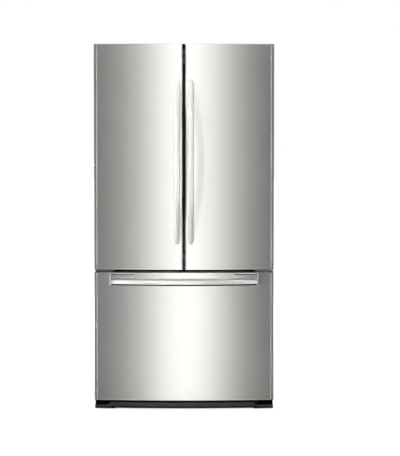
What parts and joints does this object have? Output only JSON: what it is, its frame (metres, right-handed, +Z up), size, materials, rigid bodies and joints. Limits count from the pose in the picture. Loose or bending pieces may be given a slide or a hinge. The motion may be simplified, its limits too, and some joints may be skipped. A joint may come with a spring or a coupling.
{
  "type": "french door refrigerator",
  "caption": "Freestanding french door refrigerator with two hinged doors over a pull-out freezer drawer, bowed stainless fronts and arched bar handles.",
  "frame": {"origin": "centre of the bounding box on the floor, under the levelling pads", "axes": "+Z up, -Y out of the front towards the person who opens the doors, +X to that person's right"},
  "size_m": [0.838, 0.766, 1.702],
  "materials": {
    "case_paint": "satin",
    "back_panel_steel": "satin",
    "foam": "matt",
    "liner_plastic": "satin",
    "base_steel": "satin",
    "zinc_steel": "satin",
    "roller_plastic": "matt",
    "black_plastic": "satin",
    "grey_plastic": "satin",
    "stainless": "brushed",
    "gasket_rubber": "matt",
    "handle_metal": "polished",
    "clear_plastic": "clear",
    "basket_coating": "satin",
    "tray_plastic": "satin",
    "shelf_plastic": "satin",
    "shelf_glass": "clear",
    "slider_plastic": "satin",
    "light_cover": "frosted",
    "panel_plastic": "gloss",
    "fan_plastic": "satin",
    "coil_aluminium": "satin",
    "black_steel": "satin"
  },
  "bodies": {
    "cabinet": {"outer_case": "case_paint", "back_panel": "back_panel_steel", "cabinet_foam": "foam", "fridge_liner": "liner_plastic", "freezer_liner": "liner_plastic", "divider_rail": "case_paint", "base_frame": "base_steel", "kick_plate": "black_plastic", "door_hinges": "zinc_steel", "hinge_covers": "grey_plastic", "centre_bar_guides": "liner_plastic", "fixed_slides": "zinc_steel", "shelf_rims": "shelf_plastic", "shelf_glass": "shelf_glass", "crispers_and_pantry_drawer": "clear_plastic", "air_duct": "liner_plastic", "ceiling_light": "light_cover", "control_panel": "panel_plastic", "evaporator_cover": "liner_plastic", "evaporator": "coil_aluminium", "condenser_coil": "black_steel", "compressor": "black_steel", "fan_shroud": "fan_plastic", "rear_cover": "back_panel_steel"},
    "left_door": {"left_door_trim": "grey_plastic", "left_door_skin": "stainless", "left_door_foam": "foam", "left_door_inner_panel": "liner_plastic", "left_door_gasket": "gasket_rubber", "left_door_handle": "handle_metal", "left_door_bins": "clear_plastic", "centre_bar_brackets": "grey_plastic"},
    "right_door": {"right_door_trim": "grey_plastic", "right_door_skin": "stainless", "right_door_foam": "foam", "right_door_inner_panel": "liner_plastic", "right_door_gasket": "gasket_rubber", "right_door_handle": "handle_metal", "right_door_bins": "clear_plastic"},
    "centre_bar": {"folding_centre_bar": "grey_plastic"},
    "dairy_lid": {"dairy_lid": "clear_plastic"},
    "freezer_drawer": {"drawer_skin": "stainless", "drawer_foam": "foam", "drawer_trim": "grey_plastic", "drawer_inner_panel": "liner_plastic", "drawer_gasket": "gasket_rubber", "drawer_handle_blocks": "handle_metal", "drawer_slides": "zinc_steel", "freezer_basket": "basket_coating"},
    "drawer_handle": {"drawer_handle": "handle_metal"},
    "middle_slides": {"middle_slides": "zinc_steel"},
    "freezer_tray": {"freezer_tray": "tray_plastic"},
    "left_humidity_slider": {"left_humidity_slider": "slider_plastic"},
    "right_humidity_slider": {"right_humidity_slider": "slider_plastic"},
    "left_levelling_leg": {"left_levelling_leg": "zinc_steel"},
    "right_levelling_leg": {"right_levelling_leg": "zinc_steel"},
    "left_rear_roller": {"left_rear_roller": "roller_plastic"},
    "right_rear_roller": {"right_rear_roller": "roller_plastic"},
    "evaporator_fan": {"evaporator_fan": "fan_plastic"},
    "condenser_fan": {"condenser_fan": "fan_plastic"}
  },
  "joints": [
    {"name": "left_door_hinge", "type": "hinge", "parent": "cabinet", "child": "left_door", "pos_m": [-0.397, -0.267, 1.2], "axis": [0, 0, -1], "range_deg": [0, 120]},
    {"name": "right_door_hinge", "type": "hinge", "parent": "cabinet", "child": "right_door", "pos_m": [0.397, -0.267, 1.2], "axis": [0, 0, 1], "range_deg": [0, 120]},
    {"name": "centre_bar_hinge", "type": "hinge", "parent": "left_door", "child": "centre_bar", "pos_m": [-0.026, -0.2087, 1.168], "axis": [0, 0, -1], "range_deg": [0, 90]},
    {"name": "dairy_lid_hinge", "type": "hinge", "parent": "right_door", "child": "dairy_lid", "pos_m": [0.206, -0.215, 1.525], "axis": [1, 0, 0], "range_deg": [0, 85]},
    {"name": "drawer_slide", "type": "slide", "parent": "cabinet", "child": "freezer_drawer", "axis": [0, -1, 0], "range_m": [0, 0.45]},
    {"name": "middle_slide", "type": "slide", "parent": "cabinet", "child": "middle_slides", "axis": [0, -1, 0], "range_m": [0, 0.225]},
    {"name": "tray_slide", "type": "slide", "parent": "freezer_drawer", "child": "freezer_tray", "axis": [0, 1, 0], "range_m": [0, 0.135]},
    {"name": "drawer_handle_hinge", "type": "hinge", "parent": "freezer_drawer", "child": "drawer_handle", "pos_m": [0, -0.3186, 0.628], "axis": [-1, 0, 0], "range_deg": [0, 6]},
    {"name": "left_humidity_slide", "type": "slide", "parent": "cabinet", "child": "left_humidity_slider", "axis": [1, 0, 0], "range_m": [0, 0.04]},
    {"name": "right_humidity_slide", "type": "slide", "parent": "cabinet", "child": "right_humidity_slider", "axis": [1, 0, 0], "range_m": [0, 0.04]},
    {"name": "left_leg_screw", "type": "hinge", "parent": "cabinet", "child": "left_levelling_leg", "pos_m": [-0.387, -0.19, 0.015], "axis": [0, 0, 1], "continuous": true},
    {"name": "right_leg_screw", "type": "hinge", "parent": "cabinet", "child": "right_levelling_leg", "pos_m": [0.387, -0.19, 0.015], "axis": [0, 0, 1], "continuous": true},
    {"name": "left_roller_axle", "type": "hinge", "parent": "cabinet", "child": "left_rear_roller", "pos_m": [-0.387, 0.34, 0.013], "axis": [1, 0, 0], "continuous": true},
    {"name": "right_roller_axle", "type": "hinge", "parent": "cabinet", "child": "right_rear_roller", "pos_m": [0.387, 0.34, 0.013], "axis": [1, 0, 0], "continuous": true},
    {"name": "evaporator_fan_shaft", "type": "hinge", "parent": "cabinet", "child": "evaporator_fan", "pos_m": [0, 0.2775, 0.545], "axis": [0, 1, 0], "continuous": true},
    {"name": "condenser_fan_shaft", "type": "hinge", "parent": "cabinet", "child": "condenser_fan", "pos_m": [0.072, 0.275, 0.15], "axis": [1, 0, 0], "continuous": true}
  ],
  "couplings": [
    {"joint": "middle_slide", "follows": "drawer_slide", "ratio": 0.5}
  ]
}
